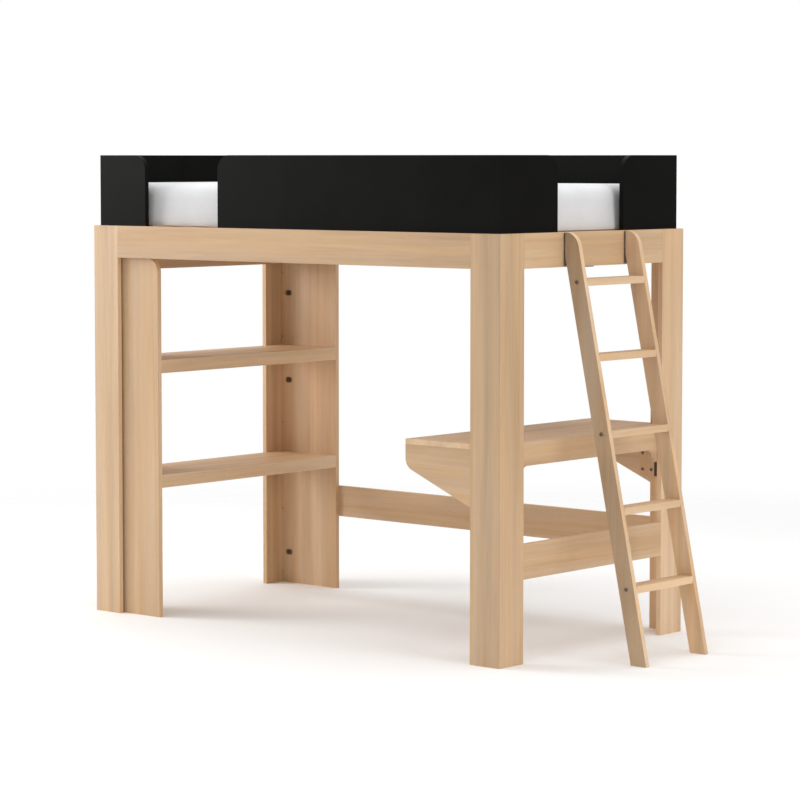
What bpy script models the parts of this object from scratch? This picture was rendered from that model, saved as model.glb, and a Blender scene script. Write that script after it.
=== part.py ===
"""High loft bed for a twin mattress, with a bookcase, a desk and a lift-off ladder.

Metres, +Z up. The origin is on the floor under the middle of the whole object,
the ladder included. +X runs along the bed towards the ladder end, and -Y is the
side that faces the room. Every board, rail and fitting is a solid of its own.
"""

import math

import bmesh
import bpy
from mathutils import Vector

# Driving dimensions.
BED_LENGTH = 2.0070          # outside the legs, along X
BED_DEPTH = 1.0670           # outside the legs, along Y
LADDER_REACH = 0.3650        # how far the ladder's feet stand out from the end
BOARD = 0.0190               # thickness of every flat board
GAP = 0.0003                 # clearance between pieces that touch

LEG_HEIGHT = 1.4880
LEG_WIDTH = 0.1310
LEG_EDGE_RADIUS = 0.0040
RAIL_BOTTOM = 1.3670
STRETCHER_BOTTOM = 0.2940
STRETCHER_TOP = 0.4170

SLAT_TOP = 1.4870
SLAT_WIDTH = 0.0700
SLAT_COUNT = 14
TAPE_SPACING = 0.6000                # the two tapes that tie the slats together underneath
TAPE_WIDTH = 0.0250
TAPE_THICKNESS = 0.0012
LEDGER_BOTTOM = 1.3800
LEDGER_TOP = 1.4240
CLEAT_TOP = 1.4680
BEAM_WIDTH = 0.0580
BEAM_BOTTOM = 1.3646
SHOE_STEEL = 0.0027
SHOE_HALF_WIDTH = 0.0420

GUARD_BOTTOM = LEDGER_TOP + GAP
GUARD_TOP = 1.7560
GUARD_RADIUS = 0.0570
FRONT_GATE = (-1.7430, -1.3600)      # open stretch of the front guard, from the right end
SIDE_GATE = (0.3410, 0.7230)         # open stretch of the right guard, from the front

CASE_DEPTH = 0.2997
CASE_HEIGHT = 1.3650
CASE_FRONT = 0.0280
CASE_RADIUS = 0.0500
SHELF_LIPS = {"upper": (0.9310, 0.9810), "lower": (0.4940, 0.5430)}
CASE_RAIL_BOTTOM = 1.3140
RECESS_RADIUS = 0.0120
RECESS_HALF_RUN = 0.0070             # half the straight run of a recess, between its round ends
RECESS_DEPTH = 0.0120
RECESS_INSET = 0.0393
RECESS_HEIGHTS = (0.126, 0.482, 0.838, 1.195)

DESK_TOP = 0.7660
DESK_REACH = 0.4248
APRON_BOTTOM = 0.6840
APRON_TAIL_BOTTOM = 0.6380
APRON_TAIL = 0.1390
APRON_FILLET = 0.0380
GUSSET_LOW_END = 0.5459
GUSSET_HIGH_END = 0.6692
GUSSET_FILLET = 0.0450
DESK_CLEAT = (-0.1650, -0.1000)
DESK_CLEAT_BOTTOM = 0.5710

STILE_NEAR = 0.3495
STILE_FAR = 0.7190
STILE_LEAN = 0.2077                  # run of the ladder for each metre of height
STILE_DEPTH = 0.0655                 # measured level, along X
STILE_HEAD_RADIUS = 0.0580
STILE_STANDOFF = 0.0080              # room for the hooks between a stile and the end rail
RUNG_TOPS = (0.274, 0.541, 0.805, 1.068, 1.328)
RUNG_THICKNESS = 0.0250
RUNG_DEPTH = 0.0590
ROD_RUNGS = (1, 3, 5)                # rungs with a rod through them
ROD_RADIUS = 0.0030
ROD_HEAD_RADIUS = 0.0060
ROD_HEAD = 0.0020
HANGER_WIDTH = 0.0170
HANGER_STEEL = 0.0020
HANGER_BOTTOM = 1.3720
HANGER_TOP = 1.4860

MATTRESS_INSET = 0.0130
MATTRESS_BOTTOM = SLAT_TOP + GAP
MATTRESS_TOP = 1.6520

# Planes that the pieces are placed from.
RIGHT = (BED_LENGTH - LADDER_REACH) / 2
LEFT = RIGHT - BED_LENGTH
FRONT = -BED_DEPTH / 2
BACK = BED_DEPTH / 2
INNER_RIGHT = RIGHT - BOARD - GAP
INNER_LEFT = LEFT + BOARD + GAP
INNER_FRONT = FRONT + BOARD + GAP
INNER_BACK = BACK - BOARD - GAP
LEG_RIGHT = RIGHT - LEG_WIDTH - GAP
LEG_LEFT = LEFT + LEG_WIDTH + GAP
LEG_FRONT = FRONT + LEG_WIDTH + GAP
LEG_BACK = BACK - LEG_WIDTH - GAP

# Materials: colour, roughness, metallic.
FINISHES = {
    "wood": ((0.665, 0.456, 0.275, 1.0), 0.45, 0.0),
    "slat_wood": ((0.700, 0.520, 0.340, 1.0), 0.60, 0.0),
    "black_board": ((0.013, 0.012, 0.011, 1.0), 0.40, 0.0),
    "bolt_steel": ((0.060, 0.045, 0.032, 1.0), 0.35, 1.0),
    "bracket_steel": ((0.120, 0.115, 0.110, 1.0), 0.40, 1.0),
    "mattress_fabric": ((0.820, 0.820, 0.810, 1.0), 0.85, 0.0),
}


def clear_scene():
    for obj in list(bpy.data.objects):
        bpy.data.objects.remove(obj, do_unlink=True)


def finish(name):
    """The material of one finish, made the first time it is asked for."""
    if name in bpy.data.materials:
        return bpy.data.materials[name]
    colour, roughness, metallic = FINISHES[name]
    material = bpy.data.materials.new(name)
    material.use_nodes = True
    shader = material.node_tree.nodes["Principled BSDF"]
    shader.inputs["Base Color"].default_value = colour
    shader.inputs["Roughness"].default_value = roughness
    shader.inputs["Metallic"].default_value = metallic
    return material


def make_object(name, mesh_builder, material, smooth=False):
    """An object from a bmesh, with its faces turned outwards and its origin in its middle."""
    bmesh.ops.recalc_face_normals(mesh_builder, faces=mesh_builder.faces)
    points = [vertex.co for vertex in mesh_builder.verts]
    low = Vector([min(point[axis] for point in points) for axis in range(3)])
    high = Vector([max(point[axis] for point in points) for axis in range(3)])
    middle = (low + high) / 2
    bmesh.ops.translate(mesh_builder, verts=mesh_builder.verts, vec=-middle)
    mesh = bpy.data.meshes.new(name)
    mesh_builder.to_mesh(mesh)
    mesh_builder.free()
    mesh.materials.append(finish(material))
    if smooth:
        mesh.shade_smooth()
        mesh.set_sharp_from_angle(angle=math.radians(35))
    obj = bpy.data.objects.new(name, mesh)
    obj.location = middle
    bpy.context.collection.objects.link(obj)
    return obj


def carry(name, origin, builders):
    """Build the pieces of one body, and hang them all on an empty at its origin."""
    others = set(bpy.data.objects)
    for build in builders:
        build()
    pieces = [obj for obj in bpy.data.objects if obj not in others]
    empty = bpy.data.objects.new(name, None)
    empty.location = origin
    bpy.context.collection.objects.link(empty)
    for piece in pieces:
        piece.parent = empty
        piece.location -= empty.location


def add_box(builder, x, y, z):
    """A closed box between the (low, high) pairs of each axis."""
    corners = [builder.verts.new((px, py, pz)) for px in x for py in y for pz in z]
    for face in ((0, 1, 3, 2), (4, 6, 7, 5), (0, 4, 5, 1), (2, 3, 7, 6), (0, 2, 6, 4), (1, 5, 7, 3)):
        builder.faces.new([corners[index] for index in face])


def board(name, x, y, z, material="wood"):
    builder = bmesh.new()
    add_box(builder, x, y, z)
    return make_object(name, builder, material)


def place(axis, first, second, along):
    """A point of an outline, at a place along the axis that the outline is drawn across."""
    if axis == "X":
        return (along, first, second)
    if axis == "Y":
        return (first, along, second)
    return (first, second, along)


def add_prism(builder, outline, axis, low, high):
    """An outline in the plane across the axis, carried from low to high."""
    start = [builder.verts.new(place(axis, u, v, low)) for u, v in outline]
    end = [builder.verts.new(place(axis, u, v, high)) for u, v in outline]
    builder.faces.new(start)
    builder.faces.new(list(reversed(end)))
    count = len(outline)
    for index in range(count):
        after = (index + 1) % count
        builder.faces.new((start[index], end[index], end[after], start[after]))


def prism(name, outline, axis, low, high, material="wood", smooth=False):
    builder = bmesh.new()
    add_prism(builder, outline, axis, low, high)
    return make_object(name, builder, material, smooth)


def rounded(corners, steps=20):
    """An outline from (u, v, radius) corners, each radius an arc tangent to both sides."""
    points = []
    count = len(corners)
    for index, (u, v, radius) in enumerate(corners):
        corner = Vector((u, v))
        if radius == 0:
            points.append((u, v))
            continue
        before = (Vector(corners[index - 1][:2]) - corner).normalized()
        after = (Vector(corners[(index + 1) % count][:2]) - corner).normalized()
        half_angle = before.angle(after) / 2
        centre = corner + (before + after).normalized() * radius / math.sin(half_angle)
        reach = radius / math.tan(half_angle)
        start = corner + before * reach - centre
        end = corner + after * reach - centre
        sweep = start.angle(end)
        for step in range(steps + 1):
            share = step / steps
            arm = start * math.sin((1 - share) * sweep) + end * math.sin(share * sweep)
            point = centre + arm / math.sin(sweep)
            points.append((point.x, point.y))
    return points


def add_round(builder, centre, profile, sides=16):
    """A turned solid along Y, from (distance along Y, radius) steps of its profile."""
    x, y, z = centre
    rings = []
    for along, radius in profile:
        ring = []
        for side in range(sides):
            turn = 2 * math.pi * side / sides
            ring.append(builder.verts.new((
                x + radius * math.cos(turn),
                y + along,
                z + radius * math.sin(turn),
            )))
        rings.append(ring)
    builder.faces.new(rings[0])
    builder.faces.new(list(reversed(rings[-1])))
    for ring, after in zip(rings, rings[1:]):
        for side in range(sides):
            beyond = (side + 1) % sides
            builder.faces.new((ring[side], after[side], after[beyond], ring[beyond]))


def combine(obj, tool, operation):
    """Cut a hidden tool out of an object, or join it on."""
    tool.hide_render = True
    tool.display_type = "WIRE"
    modifier = obj.modifiers.new(operation.lower(), "BOOLEAN")
    modifier.operation = operation
    modifier.solver = "EXACT"
    modifier.object = tool


def leg_board_outline(shift):
    """Plan of one board of a mitred leg, measured inwards from the leg's outer corner.

    The first number runs along the board and the second through its thickness.
    The mitre's gap is shared by shifting each board along its own length.
    """
    arc = []
    steps = 3
    for step in range(steps + 1):
        turn = math.radians(45) * step / steps
        along = LEG_EDGE_RADIUS * (1 - math.sin(turn))
        through = LEG_EDGE_RADIUS * (1 - math.cos(turn))
        arc.append((along + shift, through))
    return [(LEG_WIDTH, 0.0)] + arc + [(BOARD + shift, BOARD), (LEG_WIDTH, BOARD)]


def legs():
    """Four corner legs, each an L of two mitred boards."""
    outline = leg_board_outline(GAP * math.sqrt(2) / 2)
    corners = {
        "front_right": (RIGHT, FRONT, -1, 1),
        "front_left": (LEFT, FRONT, 1, 1),
        "back_right": (RIGHT, BACK, -1, -1),
        "back_left": (LEFT, BACK, 1, -1),
    }
    for corner, (x, y, inward_x, inward_y) in corners.items():
        face = [(x + inward_x * u, y + inward_y * v) for u, v in outline]
        side = [(x + inward_x * v, y + inward_y * u) for u, v in outline]
        prism(f"leg_{corner}_face", face, "Z", 0.0, LEG_HEIGHT, smooth=True)
        prism(f"leg_{corner}_side", side, "Z", 0.0, LEG_HEIGHT, smooth=True)


def rails():
    """Bed rails between the legs at the top, and the stretchers near the floor."""
    long_span = (LEG_LEFT, LEG_RIGHT)
    short_span = (LEG_FRONT, LEG_BACK)
    rail_height = (RAIL_BOTTOM, LEG_HEIGHT)
    stretcher_height = (STRETCHER_BOTTOM, STRETCHER_TOP)
    front = (FRONT, FRONT + BOARD)
    back = (BACK - BOARD, BACK)
    right = (RIGHT - BOARD, RIGHT)
    left = (LEFT, LEFT + BOARD)
    board("rail_front", long_span, front, rail_height)
    board("rail_back", long_span, back, rail_height)
    board("rail_right", right, short_span, rail_height)
    board("rail_left", left, short_span, rail_height)
    board("stretcher_back", long_span, back, stretcher_height)
    board("stretcher_right", right, short_span, stretcher_height)


def platform():
    """Ledgers inside the rails, slat cleats, slats and the centre beam in its shoes."""
    ledger_depth = 0.0377
    cleat_depth = 0.0187
    height = (LEDGER_BOTTOM, LEDGER_TOP)
    full = (INNER_LEFT, INNER_RIGHT)
    front = (INNER_FRONT, INNER_FRONT + ledger_depth)
    back = (INNER_BACK - ledger_depth, INNER_BACK)
    board("ledger_front", full, front, height)
    board("ledger_back", full, back, height)
    between = (front[1] + GAP, back[0] - GAP)
    board("ledger_left", (INNER_LEFT, INNER_LEFT + cleat_depth), between, height)
    board("ledger_right", (INNER_RIGHT - cleat_depth, INNER_RIGHT), between, height)

    inside = (INNER_LEFT + BOARD, INNER_RIGHT - BOARD)
    cleat_height = (LEDGER_TOP + GAP, CLEAT_TOP)
    cleat_front = (front[1] - cleat_depth, front[1])
    cleat_back = (back[0], back[0] + cleat_depth)
    board("slat_cleat_front", inside, cleat_front, cleat_height)
    board("slat_cleat_back", inside, cleat_back, cleat_height)

    margin = 0.0040
    first = inside[0] + margin
    last = inside[1] - margin - SLAT_WIDTH
    pitch = (last - first) / (SLAT_COUNT - 1)
    slat_span = (cleat_front[0] + GAP, cleat_back[1] - GAP)
    slats = bmesh.new()
    for index in range(SLAT_COUNT):
        start = first + index * pitch
        add_box(slats, (start, start + SLAT_WIDTH), slat_span, (CLEAT_TOP + GAP, SLAT_TOP))
    tapes = bmesh.new()
    for side in (-1, 1):
        middle = side * TAPE_SPACING / 2
        tape_span = (middle - TAPE_WIDTH / 2, middle + TAPE_WIDTH / 2)
        tape_height = (CLEAT_TOP + GAP - TAPE_THICKNESS, CLEAT_TOP + GAP + TAPE_THICKNESS)
        add_box(tapes, (first + margin, last + SLAT_WIDTH - margin), tape_span, tape_height)
    slat_roll = make_object("slat_roll", slats, "slat_wood")
    combine(slat_roll, make_object("slat_tapes", tapes, "slat_wood"), "UNION")

    beam_y = (-BEAM_WIDTH / 2, BEAM_WIDTH / 2)
    board("center_beam", (inside[0], inside[1]), beam_y, (BEAM_BOTTOM, CLEAT_TOP))


def beam_shoes():
    """Bent steel shoes that carry the ends of the centre beam."""
    length = 0.0800
    inner = BEAM_WIDTH / 2 + GAP
    outer = inner + SHOE_STEEL
    floor_top = BEAM_BOTTOM - GAP
    floor_bottom = floor_top - SHOE_STEEL
    cheek_top = floor_bottom + 0.0180
    half = [
        (SHOE_HALF_WIDTH, floor_bottom),
        (SHOE_HALF_WIDTH, floor_top),
        (outer, floor_top),
        (outer, cheek_top),
        (inner, cheek_top),
        (inner, floor_top),
    ]
    outline = half + [(-y, z) for y, z in reversed(half)]
    right = INNER_RIGHT - BOARD
    left = INNER_LEFT + BOARD
    prism("beam_shoe_right", outline, "X", right - length, right, "bracket_steel")
    prism("beam_shoe_left", outline, "X", left, left + length, "bracket_steel")


def guard_outline(low, high, low_radius, high_radius):
    """A guard board seen from its side, with its top corners rounded beside a gate."""
    return rounded([
        (low, GUARD_BOTTOM, 0),
        (high, GUARD_BOTTOM, 0),
        (high, GUARD_TOP, high_radius),
        (low, GUARD_TOP, low_radius),
    ])


def guards():
    """Black guard boards round the mattress, with a gate at the front and at the ladder."""
    front = (INNER_FRONT, INNER_FRONT + BOARD - GAP)
    back = (INNER_BACK - BOARD + GAP, INNER_BACK)
    left = (INNER_LEFT, INNER_LEFT + BOARD - GAP)
    right = (INNER_RIGHT - BOARD + GAP, INNER_RIGHT)
    height = (GUARD_BOTTOM, GUARD_TOP)
    between = (left[1] + GAP, right[0] - GAP)
    board("guard_left", left, (INNER_FRONT, INNER_BACK), height, "black_board")
    board("guard_back", between, back, height, "black_board")

    gate_left = RIGHT + FRONT_GATE[0]
    gate_right = RIGHT + FRONT_GATE[1]
    gate_near = FRONT + SIDE_GATE[0]
    gate_far = FRONT + SIDE_GATE[1]
    pieces = {
        "guard_front_short": (guard_outline(between[0], gate_left, 0, GUARD_RADIUS), "Y", front),
        "guard_front_long": (guard_outline(gate_right, between[1], GUARD_RADIUS, 0), "Y", front),
        "guard_right_near": (guard_outline(INNER_FRONT, gate_near, 0, GUARD_RADIUS), "X", right),
        "guard_right_far": (guard_outline(gate_far, INNER_BACK, GUARD_RADIUS, 0), "X", right),
    }
    for name, (outline, axis, span) in pieces.items():
        prism(name, outline, axis, span[0], span[1], "black_board", smooth=True)


def slot_outline(u, v, half_run, radius, steps=10):
    """A slot with round ends, lying along the first direction."""
    points = []
    for end, first_turn in ((1, -90), (-1, 90)):
        for step in range(steps + 1):
            turn = math.radians(first_turn + 180 * step / steps)
            points.append((u + end * half_run + radius * math.cos(turn), v + radius * math.sin(turn)))
    return points


def cut_recesses(upright, face, inward):
    """Blind slots for the assembly bolts, in an upright's inner face."""
    outside = 0.0020
    x = INNER_LEFT + RECESS_INSET
    builder = bmesh.new()
    for z in RECESS_HEIGHTS:
        outline = slot_outline(x, z, RECESS_HALF_RUN, RECESS_RADIUS)
        add_prism(builder, outline, "Y", face - inward * outside, face + inward * RECESS_DEPTH)
    combine(upright, make_object(f"{upright.name}_recesses", builder, "wood"), "DIFFERENCE")


def bookcase():
    """Open bookcase at the left end: two uprights, two lipped shelves and a top rail."""
    left = INNER_LEFT
    right = INNER_LEFT + CASE_DEPTH
    front = (FRONT + CASE_FRONT, FRONT + CASE_FRONT + BOARD)
    back = (INNER_BACK - BOARD + GAP, INNER_BACK)
    outline = rounded([
        (left, 0.0, 0),
        (right, 0.0, 0),
        (right, CASE_HEIGHT, CASE_RADIUS),
        (left, CASE_HEIGHT, 0),
    ])
    upright_front = prism("bookcase_upright_front", outline, "Y", *front)
    upright_back = prism("bookcase_upright_back", outline, "Y", *back)
    cut_recesses(upright_front, front[1], -1)
    cut_recesses(upright_back, back[0], 1)

    between = (front[1] + GAP, back[0] - GAP)
    for name, (lip_bottom, lip_top) in SHELF_LIPS.items():
        board(f"shelf_{name}_lip", (right - BOARD, right), between, (lip_bottom, lip_top))
        board(f"shelf_{name}", (left, right - BOARD - GAP), between, (lip_top - BOARD, lip_top))
    board("bookcase_top_rail", (left, left + BOARD - GAP), between, (CASE_RAIL_BOTTOM, CASE_HEIGHT))


def desk():
    """Desk at the right end: notched top, curved apron, two gussets and two cleats."""
    desk_edge = RIGHT - DESK_REACH
    top_right = INNER_RIGHT - BOARD
    notch = LEG_RIGHT
    outline = [
        (desk_edge, FRONT),
        (notch, FRONT),
        (notch, INNER_FRONT),
        (top_right, INNER_FRONT),
        (top_right, INNER_BACK),
        (notch, INNER_BACK),
        (notch, BACK),
        (desk_edge, BACK),
    ]
    prism("desk_top", outline, "Z", DESK_TOP - BOARD, DESK_TOP)

    apron = rounded([
        (INNER_FRONT, DESK_TOP, 0),
        (INNER_FRONT, APRON_TAIL_BOTTOM, 0),
        (FRONT + APRON_TAIL, APRON_TAIL_BOTTOM, 0),
        (FRONT + APRON_TAIL, APRON_BOTTOM, APRON_FILLET),
        (BACK - APRON_TAIL, APRON_BOTTOM, APRON_FILLET),
        (BACK - APRON_TAIL, APRON_TAIL_BOTTOM, 0),
        (INNER_BACK, APRON_TAIL_BOTTOM, 0),
        (INNER_BACK, DESK_TOP, 0),
    ])
    prism("desk_apron", apron, "X", INNER_RIGHT - BOARD + GAP, INNER_RIGHT)

    under = DESK_TOP - BOARD - GAP
    gusset = rounded([
        (desk_edge, under, 0),
        (desk_edge, GUSSET_HIGH_END, GUSSET_FILLET),
        (notch, GUSSET_LOW_END, 0),
        (notch, under, 0),
    ])
    prism("desk_gusset_front", gusset, "Y", FRONT, FRONT + BOARD)
    prism("desk_gusset_back", gusset, "Y", BACK - BOARD, BACK)

    cleat = (RIGHT + DESK_CLEAT[0], RIGHT + DESK_CLEAT[1])
    cleat_depth = BOARD - GAP
    board("desk_cleat_front", cleat, (INNER_FRONT, INNER_FRONT + cleat_depth), (DESK_CLEAT_BOTTOM, under))
    board("desk_cleat_back", cleat, (INNER_BACK - cleat_depth, INNER_BACK), (DESK_CLEAT_BOTTOM, under))


def stile_front(z):
    """Where the sloping front edge of a ladder stile is at a height."""
    return RIGHT + LADDER_REACH - STILE_LEAN * z


def stile_outline():
    """A ladder stile from the side: its head stands against the bed's end rail."""
    head_back = RIGHT + STILE_STANDOFF
    foot_back = RIGHT + LADDER_REACH - STILE_DEPTH
    bend_height = (foot_back - head_back) / STILE_LEAN
    return rounded([
        (head_back, LEG_HEIGHT, 0),
        (head_back, bend_height, 0),
        (foot_back, 0.0, 0),
        (RIGHT + LADDER_REACH, 0.0, 0),
        (stile_front(LEG_HEIGHT), LEG_HEIGHT, STILE_HEAD_RADIUS),
    ])


def ladder():
    """Lift-off ladder: two stiles, five rungs, and rods that draw the stiles together."""
    near = (FRONT + STILE_NEAR, FRONT + STILE_NEAR + BOARD)
    far = (FRONT + STILE_FAR - BOARD, FRONT + STILE_FAR)
    stile_near = prism("ladder_stile_near", stile_outline(), "Y", *near, smooth=True)
    stile_far = prism("ladder_stile_far", stile_outline(), "Y", *far, smooth=True)

    between = (near[1] + GAP, far[0] - GAP)
    length = far[1] - near[0]
    margin = 0.0050
    bore_profile = [(-margin, ROD_RADIUS + GAP), (length + margin, ROD_RADIUS + GAP)]
    rod_profile = [
        (-GAP - ROD_HEAD, ROD_HEAD_RADIUS),
        (-GAP, ROD_HEAD_RADIUS),
        (-GAP, ROD_RADIUS),
        (length + GAP, ROD_RADIUS),
        (length + GAP, ROD_HEAD_RADIUS),
        (length + GAP + ROD_HEAD, ROD_HEAD_RADIUS),
    ]
    stile_bores = bmesh.new()
    for number, top in enumerate(RUNG_TOPS, start=1):
        middle = top - RUNG_THICKNESS / 2
        edge = stile_front(middle)
        height = (top - RUNG_THICKNESS, top)
        rung = board(f"ladder_rung_{number}", (edge - RUNG_DEPTH, edge), between, height)
        if number not in ROD_RUNGS:
            continue
        start = (edge - STILE_DEPTH / 2, near[0], middle)
        rung_bore = bmesh.new()
        add_round(rung_bore, start, bore_profile)
        add_round(stile_bores, start, bore_profile)
        combine(rung, make_object(f"rung_bore_{number}", rung_bore, "wood"), "DIFFERENCE")
        rod = bmesh.new()
        add_round(rod, start, rod_profile)
        make_object(f"ladder_rod_{number}", rod, "bolt_steel", smooth=True)
    bores = make_object("stile_bores", stile_bores, "wood")
    combine(stile_near, bores, "DIFFERENCE")
    combine(stile_far, bores, "DIFFERENCE")


def hanger_pair(name, profile):
    """Equal bent steel pieces, one behind the head of each ladder stile."""
    outline = [(RIGHT + x, z) for x, z in profile]
    middles = {"near": FRONT + STILE_NEAR + BOARD / 2, "far": FRONT + STILE_FAR - BOARD / 2}
    for side, y in middles.items():
        span = (y - HANGER_WIDTH / 2, y + HANGER_WIDTH / 2)
        prism(f"{name}_{side}", outline, "Y", *span, material="bracket_steel")


def ladder_hooks():
    """Hooks behind the stiles' heads, open downwards."""
    hanger_pair("ladder_hook", [
        (0.0077, HANGER_BOTTOM),
        (0.0077, HANGER_TOP),
        (0.0005, HANGER_TOP),
        (0.0005, 1.430),
        (0.0025, 1.430),
        (0.0025, HANGER_TOP - HANGER_STEEL),
        (0.0057, HANGER_TOP - HANGER_STEEL),
        (0.0057, HANGER_BOTTOM),
    ])


def hook_plates():
    """Plates on the end rail, turned up to take the hooks."""
    hanger_pair("hook_plate", [
        (0.0003, HANGER_BOTTOM),
        (0.0023, HANGER_BOTTOM),
        (0.0023, 1.425),
        (0.0050, 1.425),
        (0.0050, 1.450),
        (0.0030, 1.450),
        (0.0030, 1.427),
        (0.0003, 1.427),
    ])


def mattress():
    """Plain closed solid in the room between the guards, with rounded upright corners."""
    corner = 0.0350
    left = INNER_LEFT + BOARD + MATTRESS_INSET
    right = INNER_RIGHT - BOARD - MATTRESS_INSET
    front = INNER_FRONT + BOARD + MATTRESS_INSET
    back = INNER_BACK - BOARD - MATTRESS_INSET
    outline = rounded([
        (left, front, corner),
        (right, front, corner),
        (right, back, corner),
        (left, back, corner),
    ], steps=6)
    prism("mattress", outline, "Z", MATTRESS_BOTTOM, MATTRESS_TOP, "mattress_fabric", smooth=True)


def main():
    clear_scene()
    carry("frame_origin", (0.0, 0.0, 0.0), [
        legs, rails, platform, beam_shoes, guards, bookcase, desk, hook_plates,
    ])
    ladder_middle = FRONT + (STILE_NEAR + STILE_FAR) / 2
    carry("ladder_lift_axis", (RIGHT + LADDER_REACH / 2, ladder_middle, 0.0), [ladder, ladder_hooks])
    carry("mattress_lift_axis", ((LEFT + RIGHT) / 2, 0.0, MATTRESS_BOTTOM), [mattress])


main()
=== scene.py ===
"""Looks of the loft bed: grained boards, black guards, small fittings and a soft mattress.

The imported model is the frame. Lengths are metres in its axes: +X runs towards the
ladder end, -Y faces the room and +Z is up.
"""

import math

import bmesh
import bpy
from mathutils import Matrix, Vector


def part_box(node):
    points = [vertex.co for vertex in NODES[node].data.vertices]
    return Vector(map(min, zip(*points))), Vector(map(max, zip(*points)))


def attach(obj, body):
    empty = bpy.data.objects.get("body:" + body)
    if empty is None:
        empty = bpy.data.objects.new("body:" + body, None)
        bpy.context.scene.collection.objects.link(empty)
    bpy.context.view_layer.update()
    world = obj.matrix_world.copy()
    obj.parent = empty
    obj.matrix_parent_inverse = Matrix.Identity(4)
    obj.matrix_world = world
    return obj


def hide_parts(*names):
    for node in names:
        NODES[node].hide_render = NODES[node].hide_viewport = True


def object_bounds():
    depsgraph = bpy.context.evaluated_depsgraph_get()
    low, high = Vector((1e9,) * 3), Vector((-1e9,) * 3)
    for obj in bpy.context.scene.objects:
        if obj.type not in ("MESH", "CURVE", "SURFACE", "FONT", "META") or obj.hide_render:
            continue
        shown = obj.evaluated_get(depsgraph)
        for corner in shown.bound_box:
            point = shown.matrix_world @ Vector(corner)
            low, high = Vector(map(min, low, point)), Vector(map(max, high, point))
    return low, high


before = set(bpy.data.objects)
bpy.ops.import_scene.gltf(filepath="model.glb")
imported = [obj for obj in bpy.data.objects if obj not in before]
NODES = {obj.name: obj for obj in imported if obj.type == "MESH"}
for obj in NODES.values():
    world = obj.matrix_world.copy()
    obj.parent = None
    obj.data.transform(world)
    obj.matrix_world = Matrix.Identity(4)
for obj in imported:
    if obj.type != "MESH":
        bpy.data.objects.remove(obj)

CAD_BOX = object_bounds()

# Camera: a long lens at standing height, turned slightly down.
CAMERA_PLACE = (7.0521, -8.2280, 1.7475)
CAMERA_AZIMUTH = 40.968
CAMERA_PITCH = 3.969
CAMERA_LENS = 131.36
CAMERA_SHIFT = -0.05

# Eased edges: their widths, and the angle in degrees from which an edge counts as sharp.
WOOD_EDGE = 0.0014
GUARD_EDGE = 0.0016
STEEL_EDGE = 0.0004
SHARP_ANGLE = 50

# Gap between a fitting and the board it sits in or on.
CLEARANCE = 0.0003

# Bookcase uprights: side, the end of its box that is its inner face, where that looks along Y.
UPRIGHTS = (("front", 1, 1), ("back", 0, -1))

# Bookcase recesses, each with a dark brown cup as painted shade of the recess and a bolt in it. The
# inset is from the upright's left edge.
RECESS_INSET = 0.0393
RECESS_DEPTH = 0.0120
RECESS_RADIUS = 0.0120
RECESS_HALF_RUN = 0.0070
RECESS_HEIGHTS = (0.126, 0.482, 0.838, 1.195)
RECESS_BOLT_SHIFT = 0.0050
CUP_SETBACK = 0.0012
CUP_WALL = 0.0016
CUP_FLOOR = 0.0018

# Other fasteners: insets from a board's edge, heights above the floor, heads as (radius, height).
SCREW_INSET = 0.0057
SCREW_HEIGHTS = (0.045, 0.304, 0.661, 1.015, 1.275)
CLEAT_BOLT_INSETS = (0.0126, 0.0520)
CLEAT_BOLT_HEIGHTS = (0.595, 0.656)
GUARD_SCREW_INSET = 0.0285
GUARD_SCREW_HEIGHTS = (1.544, 1.706)
ROD_RUNGS = (1, 3, 5)
BOOKCASE_BOLT = (0.0080, 0.0070)
BOOKCASE_SCREW = (0.0036, 0.0012)
CLEAT_BOLT = (0.0060, 0.0032)
GUARD_SCREW = (0.0040, 0.0012)
LADDER_BOLT = (0.0072, 0.0045)

# A head's shape and its hexagon socket, as shares of its radius and height.
HEAD_SIDES = 24
HEAD_PROFILE = ((1.00, 0.00), (1.00, 0.22), (0.93, 0.55), (0.78, 0.86), (0.60, 1.00))
SOCKET_REACH = 0.46
SOCKET_LEVELS = (1.00, 0.30)
CREASE_ANGLE = 40

# Thin dark plates on the ends of the desk cleats: painted shade, standing in for the shadow on each
# cleat's end face beside the leg.
SHADE_PLATE_THICKNESS = 0.0015
SHADE_PLATE_MARGIN = 0.0010

# Ladder stile: how deep it is along X where it meets the floor.
STILE_DEPTH = 0.0655

# Mattress: mesh cell, rounding of its head and foot, slack, swell and the part that lies still.
MATTRESS_CELL = 0.0210
MATTRESS_EDGE = 0.0420
MATTRESS_FOOT = 0.0080
MATTRESS_SLACK = 0.0050
MATTRESS_SWELL = 0.0110
MATTRESS_REST = 0.0200
SIMULATION_STEPS = 20
EVENING_ROUNDS = 8

# Studio: the floor's radius where its fade starts and ends, and how bright the room is.
FLOOR_SOLID = 2.4
FLOOR_END = 5.2
ROOM_LIGHT = 0.46
BACKGROUND = 1.0


# Shader building.

def add_node(tree, kind, **settings):
    """A shader node with its plain settings."""
    node = tree.nodes.new(kind)
    for key, value in settings.items():
        setattr(node, key, value)
    return node


def new_material(name):
    """A material with its node tree and its main shader."""
    material = bpy.data.materials.new(name)
    material.use_nodes = True
    return material, material.node_tree, material.node_tree.nodes["Principled BSDF"]


def placed(tree, scale, offset=(0, 0, 0), rotation=(0, 0, 0)):
    """The object's own position, turned, moved and stretched, for a texture to read."""
    where = add_node(tree, "ShaderNodeTexCoord")
    mapping = add_node(tree, "ShaderNodeMapping")
    mapping.inputs["Location"].default_value = offset
    mapping.inputs["Rotation"].default_value = rotation
    mapping.inputs["Scale"].default_value = scale
    tree.links.new(where.outputs["Object"], mapping.inputs["Vector"])
    return mapping.outputs["Vector"]


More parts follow.
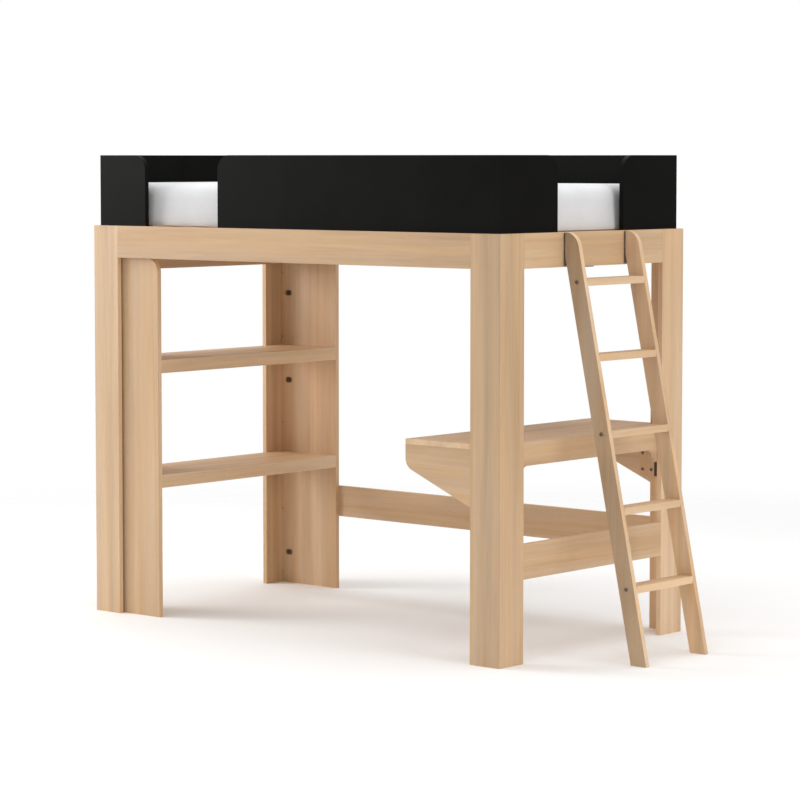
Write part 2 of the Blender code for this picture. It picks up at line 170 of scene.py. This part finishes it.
def noise(tree, vector, scale=1.0, detail=2.0, roughness=0.5, distortion=0.0):
    """Noise between 0 and 1, read at a texture vector."""
    node = add_node(tree, "ShaderNodeTexNoise")
    node.inputs["Scale"].default_value = scale
    node.inputs["Detail"].default_value = detail
    node.inputs["Roughness"].default_value = roughness
    node.inputs["Distortion"].default_value = distortion
    tree.links.new(vector, node.inputs["Vector"])
    return node.outputs["Fac"]


def ramp(tree, value, stops):
    """A colour ramp from (position, colour) stops."""
    node = add_node(tree, "ShaderNodeValToRGB")
    elements = node.color_ramp.elements
    while len(elements) < len(stops):
        elements.new(0.5)
    for element, (position, colour) in zip(elements, stops):
        element.position = position
        element.color = (*colour, 1.0)
    tree.links.new(value, node.inputs["Fac"])
    return node.outputs["Color"]


def remap(tree, value, low, high, to_low, to_high):
    """A value carried over from one range to another, and held inside it."""
    node = add_node(tree, "ShaderNodeMapRange")
    node.inputs["From Min"].default_value = low
    node.inputs["From Max"].default_value = high
    node.inputs["To Min"].default_value = to_low
    node.inputs["To Max"].default_value = to_high
    tree.links.new(value, node.inputs["Value"])
    return node.outputs["Result"]


def calculate(tree, operation, first, second):
    """One step of arithmetic on two numbers or sockets."""
    node = add_node(tree, "ShaderNodeMath", operation=operation)
    for socket, value in zip(node.inputs, (first, second)):
        if isinstance(value, (int, float)):
            socket.default_value = value
        else:
            tree.links.new(value, socket)
    return node.outputs["Value"]


def shade(tree, colour, factor):
    """A colour multiplied by a factor, channel by channel."""
    node = add_node(tree, "ShaderNodeMix", data_type="RGBA", blend_type="MULTIPLY")
    node.inputs["Factor"].default_value = 1.0
    tree.links.new(colour, node.inputs["A"])
    tree.links.new(factor, node.inputs["B"])
    return node.outputs["Result"]


def bump(tree, shader, height, distance, strength=1.0):
    """Fine relief on a shader, with its depth in metres."""
    node = add_node(tree, "ShaderNodeBump")
    node.inputs["Distance"].default_value = distance
    node.inputs["Strength"].default_value = strength
    tree.links.new(height, node.inputs["Height"])
    tree.links.new(node.outputs["Normal"], shader.inputs["Normal"])


# Materials.

WOOD_DARK = (0.480, 0.303, 0.160)
WOOD_MIDDLE = (0.585, 0.393, 0.226)
WOOD_LIGHT = (0.650, 0.455, 0.274)
WOOD_PALE = (0.705, 0.520, 0.336)
# Painted light and shade in the wood: the first factor paints boards' narrow edges lighter, and the
# table paints the broad faces of each listed board lighter or darker by how light falls on it
# (lighter shelf tops and back-right leg, darker near ladder stile and front-right leg); other boards
# take 1.0.
EDGE_PAINTED_LIGHT = 1.14
BOARD_PAINTED_LIGHT = {
    "ladder_stile_near": 0.70,
    "ladder_stile_far": 1.03,
    "shelf_upper": 1.22,
    "shelf_lower": 1.08,
    "shelf_upper_lip": 1.10,
    "shelf_lower_lip": 1.08,
    "leg_front_right_face": 0.92,
    "leg_back_right_side": 1.14,
    "leg_back_right_face": 1.25,
    "bookcase_upright_back": 1.06,
    "desk_top": 1.08,
    "desk_gusset_front": 1.06,
}
WOOD_SORTS = 3
GRAIN_STEPS = (0.73, 0.41, 1.37)


def stretch(grain, along, across):
    """A texture scale that is slow along the grain's axis and quick across it."""
    return tuple(along if axis == grain else across for axis in "XYZ")


# Mask for the painted light on the boards' narrow edges.
def painted_edge_light_mask(tree, thin):
    """How far a point is on a board's narrow edge, from 0 on its broad faces to 1."""
    where = add_node(tree, "ShaderNodeTexCoord")
    split = add_node(tree, "ShaderNodeSeparateXYZ")
    tree.links.new(where.outputs["Normal"], split.inputs["Vector"])
    facing = calculate(tree, "ABSOLUTE", split.outputs[thin], 0.0)
    return remap(tree, facing, 0.45, 0.85, 1.0, 0.0)


def wood(name, grain, thin, tone, offset, rotation=(0, 0, 0), rough=0.46):
    """Satin birch: soft bands, fine growth lines, fibres and dark pores, with painted light and
    shade: broad faces scaled by the board's factor, narrow edges painted lighter.
    """
    material, tree, shader = new_material(name)

    def streak(along, across, **settings):
        vector = placed(tree, stretch(grain, along, across), offset, rotation)
        return noise(tree, vector, **settings)

    bands = streak(0.50, 10.0, detail=4.0, roughness=0.55, distortion=0.45)
    cloud = streak(0.9, 3.2, detail=2.0)
    mixed = calculate(tree, "ADD", calculate(tree, "MULTIPLY", bands, 0.72),
                      calculate(tree, "MULTIPLY", cloud, 0.28))
    colour = ramp(tree, mixed, [
        (0.30, WOOD_DARK),
        (0.43, WOOD_MIDDLE),
        (0.55, WOOD_LIGHT),
        (0.70, WOOD_PALE),
    ])

    hue = streak(0.7, 17.0, detail=2.0, distortion=0.3)
    warm, cool = (1.04, 0.985, 0.925), (0.985, 0.995, 1.05)
    colour = shade(tree, colour, ramp(tree, hue, [(0.36, warm), (0.62, cool)]))

    lines = streak(1.1, 48.0, detail=4.0, roughness=0.6, distortion=0.6)
    fibres = streak(9.0, 520.0, detail=2.0)
    pores = streak(26.0, 900.0, detail=1.0)
    line_shade = remap(tree, lines, 0.32, 0.62, 0.92, 1.03)
    fibre_shade = remap(tree, fibres, 0.30, 0.70, 0.955, 1.03)
    pore_shade = remap(tree, pores, 0.66, 0.78, 1.0, 0.80)
    # Painted light and shade: broad faces take the board's factor, narrow edges are painted lighter.
    painted_light_factor = remap(tree, painted_edge_light_mask(tree, thin), 0.0, 1.0, tone, EDGE_PAINTED_LIGHT)
    for factor in (line_shade, fibre_shade, pore_shade, painted_light_factor):
        colour = shade(tree, colour, factor)
    tree.links.new(colour, shader.inputs["Base Color"])

    gloss = remap(tree, lines, 0.3, 0.7, rough + 0.06, rough - 0.05)
    tree.links.new(gloss, shader.inputs["Roughness"])
    height = calculate(tree, "SUBTRACT", fibres, calculate(tree, "MULTIPLY", pore_shade, -0.8))
    bump(tree, shader, height, 0.00012, 0.55)
    shader.inputs["Specular IOR Level"].default_value = 0.42
    return material


def black_paint():
    """Satin black paint over a board: fine orange peel and slightly uneven gloss."""
    material, tree, shader = new_material("satin_black_paint")
    vector = placed(tree, (1, 1, 1))
    cloud = noise(tree, vector, scale=7.0, detail=4.0)
    peel = noise(tree, vector, scale=420.0, detail=2.0)
    colour = ramp(tree, cloud, [(0.30, (0.0044, 0.0042, 0.0037)), (0.70, (0.0058, 0.0056, 0.0050))])
    tree.links.new(colour, shader.inputs["Base Color"])
    tree.links.new(remap(tree, cloud, 0.3, 0.7, 0.40, 0.48), shader.inputs["Roughness"])
    bump(tree, shader, peel, 0.00008, 0.5)
    shader.inputs["Specular IOR Level"].default_value = 0.05
    return material


def metal(name, dark, light, roughness, metallic=1.0):
    """Bolt and bracket metal, with fine wear and uneven tone."""
    material, tree, shader = new_material(name)
    vector = placed(tree, (1, 1, 1))
    stain = noise(tree, vector, scale=160.0, detail=4.0)
    scratch = noise(tree, placed(tree, (300, 40, 900)), detail=2.0)
    tree.links.new(ramp(tree, stain, [(0.35, dark), (0.68, light)]), shader.inputs["Base Color"])
    wear = remap(tree, scratch, 0.3, 0.7, roughness - 0.06, roughness + 0.10)
    tree.links.new(wear, shader.inputs["Roughness"])
    bump(tree, shader, scratch, 0.00004, 0.5)
    shader.inputs["Metallic"].default_value = metallic
    return material


def ticking():
    """White knitted mattress cover: rows of fine stitches, soft sheen and faint cloudiness."""
    material, tree, shader = new_material("mattress_ticking")
    cloud = noise(tree, placed(tree, (9, 9, 9)), detail=3.0)
    colour = ramp(tree, cloud, [(0.30, (0.725, 0.730, 0.740)), (0.70, (0.775, 0.778, 0.784))])
    ribs = []
    for turn in (0, 90):
        wave = add_node(tree, "ShaderNodeTexWave", wave_type="BANDS", bands_direction="DIAGONAL")
        wave.inputs["Scale"].default_value = 170.0
        wave.inputs["Distortion"].default_value = 0.6
        vector = placed(tree, (1, 1, 1), rotation=(0, 0, math.radians(turn)))
        tree.links.new(vector, wave.inputs["Vector"])
        ribs.append(wave.outputs["Fac"])
    fuzz = noise(tree, placed(tree, (1500, 1500, 1500)), detail=1.0)
    stitches = calculate(tree, "MULTIPLY", *ribs)
    knit = calculate(tree, "ADD", stitches, calculate(tree, "MULTIPLY", fuzz, 0.4))
    colour = shade(tree, colour, remap(tree, knit, 0.1, 1.1, 0.95, 1.0))
    tree.links.new(colour, shader.inputs["Base Color"])
    bump(tree, shader, knit, 0.00018, 0.6)
    shader.inputs["Roughness"].default_value = 0.88
    shader.inputs["Sheen Weight"].default_value = 0.25
    shader.inputs["Sheen Roughness"].default_value = 0.45
    shader.inputs["Specular IOR Level"].default_value = 0.25
    return material


def floor_paint():
    """Pale matt floor that fades out into the white studio round it."""
    material, tree, shader = new_material("studio_floor")
    position = placed(tree, (1, 1, 1))
    cloud = noise(tree, position, scale=0.4)
    tree.links.new(ramp(tree, cloud, [(0.3, (0.955, 0.955, 0.955)), (0.7, (0.970, 0.970, 0.970))]),
                   shader.inputs["Base Color"])
    distance = add_node(tree, "ShaderNodeVectorMath", operation="LENGTH")
    tree.links.new(position, distance.inputs[0])
    fade = remap(tree, distance.outputs["Value"], FLOOR_SOLID, FLOOR_END, 1.0, 0.0)
    fade.node.interpolation_type = "SMOOTHSTEP"
    tree.links.new(fade, shader.inputs["Alpha"])
    shader.inputs["Roughness"].default_value = 0.9
    shader.inputs["Specular IOR Level"].default_value = 0.1
    return material


# Dressing the frame.

def directions_of(node):
    """The axes of a board's longest side, where its grain runs, and of its thinnest."""
    low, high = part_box(node)
    size = high - low
    order = sorted(range(3), key=lambda axis: size[axis])
    return "XYZ"[order[2]], "XYZ"[order[0]]


def board_wood(name, index, made):
    """A board's wood, with its painted light or shade factor. Boards with the same grain, factor and
    sort share one.
    """
    grain, thin = directions_of(name)
    sloping = name.startswith("ladder_stile")
    # The board's painted light or shade factor, 1.0 if none.
    tone = BOARD_PAINTED_LIGHT.get(name, 1.0)
    key = (grain, thin, sloping, tone, index % WOOD_SORTS)
    if key not in made:
        offset = [index * step for step in GRAIN_STEPS]
        turn = (0, stile_lean(), 0) if sloping else (0, 0, 0)
        made[key] = wood(f"birch_{len(made) + 1}", grain, thin, tone, offset, turn)
    return made[key]


def dress(name, material, edge):
    """One material on a frame node, and its sharp edges eased."""
    node = NODES[name]
    node.data.materials.clear()
    node.data.materials.append(material)
    soften(node, edge)


def dress_nodes():
    """Dress every frame node but the mattress, which the cover replaces."""
    black = black_paint()
    bronze = metal("dark_bronze", (0.160, 0.118, 0.080), (0.275, 0.210, 0.150), 0.46)
    bracket = metal("bracket_powder_coat", (0.150, 0.122, 0.097), (0.195, 0.162, 0.132), 0.55,
                    metallic=0.0)
    made = {}
    for index, name in enumerate(sorted(NODES)):
        if name.startswith("guard"):
            dress(name, black, GUARD_EDGE)
        elif name.startswith("ladder_rod"):
            dress(name, bronze, STEEL_EDGE)
        elif name.startswith(("beam_shoe", "hook_plate", "ladder_hook")):
            dress(name, bracket, STEEL_EDGE)
        elif name != "mattress":
            dress(name, board_wood(name, index, made), WOOD_EDGE)


def stile_lean():
    """The angle between a ladder stile and the upright."""
    low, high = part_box("ladder_stile_near")
    return math.atan2(high.x - low.x - STILE_DEPTH, high.z - low.z)


def soften(piece, width):
    """A narrow rounded edge that catches the light, as sanding leaves it."""
    bevel = piece.modifiers.new("eased_edges", "BEVEL")
    bevel.width = width
    bevel.segments = 2
    bevel.limit_method = "ANGLE"
    bevel.angle_limit = math.radians(SHARP_ANGLE)
    bevel.harden_normals = True


# Fasteners.

def hexagon(turn, radius):
    """Radius of a hexagon with this corner radius, in the direction of turn."""
    sector = math.radians(60)
    return radius * math.cos(sector / 2) / math.cos(turn % sector - sector / 2)


def skin(builder, loops, first_cap):
    """Close a stack of equal loops with sides and two caps."""
    builder.faces.new(first_cap)
    builder.faces.new(loops[-1])
    for loop, after in zip(loops, loops[1:]):
        for side in range(HEAD_SIDES):
            beyond = (side + 1) % HEAD_SIDES
            builder.faces.new((loop[side], loop[beyond], after[beyond], after[side]))


def add_head(builder, centre, direction, radius, height):
    """A button head with a hexagon socket, standing on centre and facing direction."""
    outward = Vector(direction)
    first = outward.orthogonal().normalized()
    second = outward.cross(first)
    rings = []
    for share, rise in HEAD_PROFILE:
        rings.append([(radius * share, height * rise)] * HEAD_SIDES)
    for level in SOCKET_LEVELS:
        socket = []
        for side in range(HEAD_SIDES):
            turn = 2 * math.pi * side / HEAD_SIDES
            socket.append((hexagon(turn, radius * SOCKET_REACH), height * level))
        rings.append(socket)
    loops = []
    for ring in rings:
        loop = []
        for side, (reach, rise) in enumerate(ring):
            turn = 2 * math.pi * side / HEAD_SIDES
            spoke = first * math.cos(turn) + second * math.sin(turn)
            loop.append(builder.verts.new(Vector(centre) + spoke * reach + outward * rise))
        loops.append(loop)
    skin(builder, loops, list(reversed(loops[0])))


def heads(name, places, head, body, material):
    """A group of equal screw or bolt heads on one body."""
    builder = bmesh.new()
    for centre, direction in places:
        add_head(builder, centre, direction, *head)
    piece_from(name, builder, body, material)


def piece_from(name, builder, body, material):
    """A finished piece that rides on one body."""
    bmesh.ops.recalc_face_normals(builder, faces=builder.faces)
    mesh = bpy.data.meshes.new(name)
    builder.to_mesh(mesh)
    builder.free()
    mesh.materials.append(material)
    mesh.shade_smooth()
    mesh.set_sharp_from_angle(angle=math.radians(CREASE_ANGLE))
    piece = bpy.data.objects.new(name, mesh)
    bpy.context.scene.collection.objects.link(piece)
    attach(piece, body)
    return piece


def recess_shade_material():
    """Dark brown with a fine matt texture: painted shade for the inside of the bookcase recesses."""
    material, tree, shader = new_material("recess_painted_shade")
    vector = placed(tree, (1, 1, 1))
    mottle = noise(tree, vector, scale=260.0, detail=3.0)
    tree.links.new(ramp(tree, mottle, [(0.3, (0.285, 0.212, 0.150)), (0.7, (0.355, 0.270, 0.195))]),
                   shader.inputs["Base Color"])
    tree.links.new(remap(tree, mottle, 0.3, 0.7, 0.50, 0.62), shader.inputs["Roughness"])
    bump(tree, shader, mottle, 0.00006, 0.5)
    return material


def add_cup(builder, x, z, profile):
    """An oblong cup round (x, z), from (radius, y) steps of its profile."""
    loops = []
    for radius, y in profile:
        loop = []
        for side in range(HEAD_SIDES):
            turn = 2 * math.pi * (side + 0.5) / HEAD_SIDES
            run = math.copysign(RECESS_HALF_RUN, math.cos(turn))
            point = (x + run + radius * math.cos(turn), y, z + radius * math.sin(turn))
            loop.append(builder.verts.new(point))
        loops.append(loop)
    skin(builder, loops, loops[0])


def recess_shade_cups():
    """A shallow dark brown cup in each bookcase recess, painted shade for the recess, which the bolt
    sits in.
    """
    material = recess_shade_material()
    outer = RECESS_RADIUS - CLEARANCE
    inner = outer - CUP_WALL
    for side, inner_end, facing in UPRIGHTS:
        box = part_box(f"bookcase_upright_{side}")
        face = box[inner_end].y
        back = face - facing * (RECESS_DEPTH - CLEARANCE)
        front = face - facing * CUP_SETBACK
        floor_y = back + facing * CUP_FLOOR
        profile = ((outer, back), (outer, front), (inner, front), (inner, floor_y))
        builder = bmesh.new()
        for z in RECESS_HEIGHTS:
            add_cup(builder, box[0].x + RECESS_INSET, z, profile)
        piece = piece_from(f"recess_shade_cups_{side}", builder, "bed_frame", material)


def painted_shade_cleat_ends():
    """A thin dark plate over the end of each desk cleat: painted shade for that end face, which lies
    in shadow.
    """
    shade_plate_material = bpy.data.materials["bracket_powder_coat"]
    for side in ("front", "back"):
        low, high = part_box(f"desk_cleat_{side}")
        middle = (low + high) / 2
        middle.x = high.x + CLEARANCE + SHADE_PLATE_THICKNESS / 2
        size = high - low - 2 * Vector((0, SHADE_PLATE_MARGIN, SHADE_PLATE_MARGIN))
        size.x = SHADE_PLATE_THICKNESS
        builder = bmesh.new()
        bmesh.ops.create_cube(builder, size=1.0)
        for vertex in builder.verts:
            vertex.co = middle + vertex.co * size
        # The plate is painted shade, in the dark bracket colour.
        piece = piece_from(f"cleat_end_shade_{side}", builder, "bed_frame", shade_plate_material)
        soften(piece, STEEL_EDGE)


def fasten_uprights_and_cleats():
    """Bolts in the bookcase recesses, and screws on the uprights and the desk cleats."""
    bronze = bpy.data.materials["dark_bronze"]
    zinc = metal("zinc_screw", (0.30, 0.28, 0.25), (0.48, 0.46, 0.42), 0.34)
    bolts, screws, cleat_bolts = [], [], []
    for side, inner_end, facing in UPRIGHTS:
        direction = (0, facing, 0)
        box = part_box(f"bookcase_upright_{side}")
        left, face = box[0].x, box[inner_end].y
        recess_floor = face - facing * (RECESS_DEPTH - CUP_FLOOR - 2 * CLEARANCE)
        for z in RECESS_HEIGHTS:
            bolts.append(((left + RECESS_INSET - RECESS_BOLT_SHIFT, recess_floor, z), direction))
        for z in SCREW_HEIGHTS:
            screws.append(((left + SCREW_INSET, face, z), direction))
        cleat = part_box(f"desk_cleat_{side}")
        for inset in CLEAT_BOLT_INSETS:
            for z in CLEAT_BOLT_HEIGHTS:
                cleat_bolts.append(((cleat[0].x + inset, cleat[inner_end].y, z), direction))
    heads("bookcase_bolts", bolts, BOOKCASE_BOLT, "bed_frame", bronze)
    heads("bookcase_screws", screws, BOOKCASE_SCREW, "bed_frame", zinc)
    heads("desk_cleat_bolts", cleat_bolts, CLEAT_BOLT, "bed_frame", bronze)


def fasten_guards():
    """Two screws in each end of the guards that cross the bed's ends."""
    black_zinc = metal("black_zinc", (0.010, 0.010, 0.010), (0.022, 0.021, 0.020), 0.40)
    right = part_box("guard_right_near")[1].x
    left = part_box("guard_left")[0].x
    screws = []
    for z in GUARD_SCREW_HEIGHTS:
        for y in (CAD_BOX[0].y + GUARD_SCREW_INSET, CAD_BOX[1].y - GUARD_SCREW_INSET):
            screws.append(((right, y, z), (1, 0, 0)))
            screws.append(((left, y, z), (-1, 0, 0)))
    heads("guard_screws", screws, GUARD_SCREW, "bed_frame", black_zinc)


def fasten_ladder():
    """A round head on each end of the ladder's tie rods."""
    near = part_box("ladder_stile_near")[0].y
    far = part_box("ladder_stile_far")[1].y
    rod_heads = []
    for number in ROD_RUNGS:
        low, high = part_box(f"ladder_rod_{number}")
        middle = (low + high) / 2
        rod_heads.append(((middle.x, near, middle.z), (0, -1, 0)))
        rod_heads.append(((middle.x, far, middle.z), (0, 1, 0)))
    heads("ladder_bolt_heads", rod_heads, LADDER_BOLT, "ladder", bpy.data.materials["dark_bronze"])


# Mattress.

def box_shell(low, high, cell):
    """A closed box surface cut into even cells, as a bmesh."""
    counts = [max(2, round((high[axis] - low[axis]) / cell)) for axis in range(3)]
    builder = bmesh.new()
    found = {}

    def corner(place):
        if place not in found:
            point = [
                low[axis] + (high[axis] - low[axis]) * place[axis] / counts[axis] for axis in range(3)
            ]
            found[place] = builder.verts.new(point)
        return found[place]

    for axis in range(3):
        across, along = [other for other in range(3) if other != axis]
        for level in (0, counts[axis]):
            for i in range(counts[across]):
                for j in range(counts[along]):
                    quad = []
                    for di, dj in ((0, 0), (1, 0), (1, 1), (0, 1)):
                        place = [0, 0, 0]
                        place[axis], place[across], place[along] = level, i + di, j + dj
                        quad.append(corner(tuple(place)))
                    builder.faces.new(quad)
    bmesh.ops.recalc_face_normals(builder, faces=builder.faces)
    return builder


def round_off(builder, low, high, foot, head):
    """Round all the edges of a box surface, tightly at its foot and softly at its head."""
    for vertex in builder.verts:
        share = (vertex.co.z - low.z) / (high.z - low.z)
        radius = foot + (head - foot) * share * share * (3 - 2 * share)
        core = Vector([
            min(max(vertex.co[axis], low[axis] + radius), high[axis] - radius) for axis in range(3)
        ])
        arm = vertex.co - core
        if arm.length > 0:
            vertex.co = core + arm.normalized() * radius


def evened(mesh, moves):
    """Movements averaged with those of the neighbouring points, which removes small buckles."""
    neighbours = [[] for _ in moves]
    for edge in mesh.edges:
        first, second = edge.vertices
        neighbours[first].append(second)
        neighbours[second].append(first)
    for _ in range(EVENING_ROUNDS):
        moves = [
            (move + sum((moves[other] for other in near), Vector())) / (len(near) + 1)
            for move, near in zip(moves, neighbours)
        ]
    return moves


def inflate(piece, low, swell):
    """Let a cloth cover swell under pressure while its underside stays on the slats."""
    resting = piece.vertex_groups.new(name="resting")
    still = [vertex.index for vertex in piece.data.vertices if vertex.co.z < low.z + MATTRESS_REST]
    resting.add(still, 1.0, "REPLACE")
    before = [vertex.co.copy() for vertex in piece.data.vertices]
    modifier = piece.modifiers.new("cover", "CLOTH")
    settings = modifier.settings
    settings.quality = 6
    settings.mass = 0.4
    settings.tension_stiffness = 12
    settings.compression_stiffness = 12
    settings.shear_stiffness = 6
    settings.bending_stiffness = 1.2
    settings.use_pressure = True
    settings.uniform_pressure_force = 4.0
    settings.vertex_group_mass = "resting"
    settings.effector_weights.gravity = 0
    modifier.point_cache.frame_start = 1
    modifier.point_cache.frame_end = SIMULATION_STEPS
    scene = bpy.context.scene
    for step in range(1, SIMULATION_STEPS + 1):
        scene.frame_set(step)
    shaped = piece.evaluated_get(bpy.context.evaluated_depsgraph_get())
    after = [vertex.co.copy() for vertex in shaped.data.vertices]
    piece.modifiers.remove(modifier)
    piece.vertex_groups.remove(resting)
    moves = [end - start for start, end in zip(before, after)]
    for move in moves:
        move.length = min(move.length, swell)
    for vertex, start, move in zip(piece.data.vertices, before, evened(piece.data, moves)):
        vertex.co = start + move
    scene.frame_set(1)


def mattress():
    """Soft mattress with rounded edges and a slightly crowned top."""
    low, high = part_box("mattress")
    slack = Vector((MATTRESS_SLACK, MATTRESS_SLACK, 0))
    start_low = low + slack
    start_high = high - slack - Vector((0, 0, MATTRESS_SLACK))
    builder = box_shell(start_low, start_high, MATTRESS_CELL)
    round_off(builder, start_low, start_high, MATTRESS_FOOT, MATTRESS_EDGE)
    piece = piece_from("mattress_cover", builder, "mattress", ticking())
    piece.data.shade_smooth()  # cloth has no creases
    inflate(piece, start_low, MATTRESS_SWELL)
    for vertex in piece.data.vertices:
        for axis in range(3):
            vertex.co[axis] = min(max(vertex.co[axis], low[axis]), high[axis])
    smooth = piece.modifiers.new("smooth", "SUBSURF")
    smooth.levels = 1
    smooth.render_levels = 1
    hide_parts("mattress")


# Studio.

def floor():
    """A plane that stands in for the studio floor."""
    builder = bmesh.new()
    bmesh.ops.create_grid(builder, x_segments=1, y_segments=1, size=FLOOR_END)
    mesh = bpy.data.meshes.new("studio_floor")
    builder.to_mesh(mesh)
    builder.free()
    mesh.materials.append(floor_paint())
    plane = bpy.data.objects.new("studio_floor", mesh)
    bpy.context.scene.collection.objects.link(plane)


def soft_light(name, place, target, size, power):
    """A square area light that points at a target."""
    lamp = bpy.data.lights.new(name, "AREA")
    lamp.shape = "SQUARE"
    lamp.size = size
    lamp.energy = power
    obj = bpy.data.objects.new(name, lamp)
    obj.location = place
    obj.rotation_euler = (Vector(target) - Vector(place)).to_track_quat("-Z", "Y").to_euler()
    bpy.context.scene.collection.objects.link(obj)


def room():
    """An even white room: the background shows white, and lights the scene a little less."""
    world = bpy.data.worlds.new("studio")
    world.use_nodes = True
    tree = world.node_tree
    seen = add_node(tree, "ShaderNodeLightPath")
    strength = remap(tree, seen.outputs["Is Camera Ray"], 0.0, 1.0, ROOM_LIGHT, BACKGROUND)
    sky = tree.nodes["Background"]
    sky.inputs["Color"].default_value = (1.0, 1.0, 1.0, 1.0)
    tree.links.new(strength, sky.inputs["Strength"])
    bpy.context.scene.world = world


def lights():
    """A wide light overhead, and three smaller ones that point at the bed's middle."""
    middle = (CAD_BOX[0] + CAD_BOX[1]) / 2
    soft_light("overhead", place=(0.0, 0.0, 6.0), target=(0.0, 0.0, 0.0), size=9.0, power=350)
    soft_light("key", place=(-4.6, -2.6, 2.4), target=middle, size=2.2, power=118)
    soft_light("corner_strip", place=(5.4, -5.6, 1.6), target=middle, size=0.5, power=14)
    soft_light("end_fill", place=(6.8, -0.4, 2.8), target=middle, size=2.6, power=108)


def camera():
    """The camera, where the photo's was."""
    lens = bpy.data.cameras.new("camera")
    lens.lens = CAMERA_LENS
    lens.sensor_width = 36.0
    lens.shift_y = CAMERA_SHIFT
    lens.clip_end = 100.0
    obj = bpy.data.objects.new("camera", lens)
    obj.location = CAMERA_PLACE
    obj.rotation_euler = (math.radians(90 - CAMERA_PITCH), 0, math.radians(CAMERA_AZIMUTH))
    bpy.context.scene.collection.objects.link(obj)
    bpy.context.scene.camera = obj


bpy.context.scene.view_settings.view_transform = "Standard"
dress_nodes()
fasten_uprights_and_cleats()
fasten_guards()
fasten_ladder()
painted_shade_cleat_ends()
recess_shade_cups()
mattress()
floor()
room()
lights()
camera()
